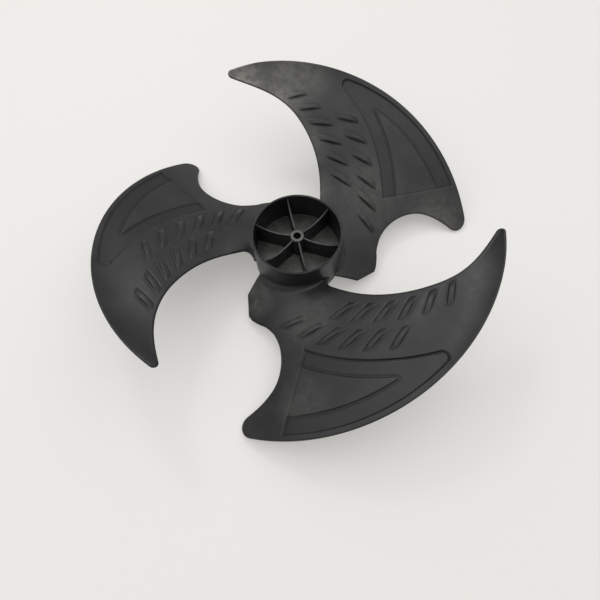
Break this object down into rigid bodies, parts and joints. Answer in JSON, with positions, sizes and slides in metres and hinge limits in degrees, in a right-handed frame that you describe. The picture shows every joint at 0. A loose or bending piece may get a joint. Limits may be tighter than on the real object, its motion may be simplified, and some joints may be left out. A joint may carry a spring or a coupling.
{
  "type": "axial fan impeller",
  "caption": "Black moulded axial fan impeller with wide twisted blades, rows of small ridges on each blade and a ribbed open hub around a shaft bore",
  "frame": {"origin": "on the bore axis, at the upper face of the boss, where the shaft enters", "axes": "+Z runs along the bore out of the open hub towards the motor; +X points to the low trailing lobe of the first blade"},
  "size_m": [0.4148, 0.4169, 0.1231],
  "materials": {
    "black_plastic": "satin black moulded plastic with a dusty bloom and faint flow marks"
  },
  "bodies": {
    "root": {"fan_impeller": "black_plastic"}
  },
  "joints": []
}
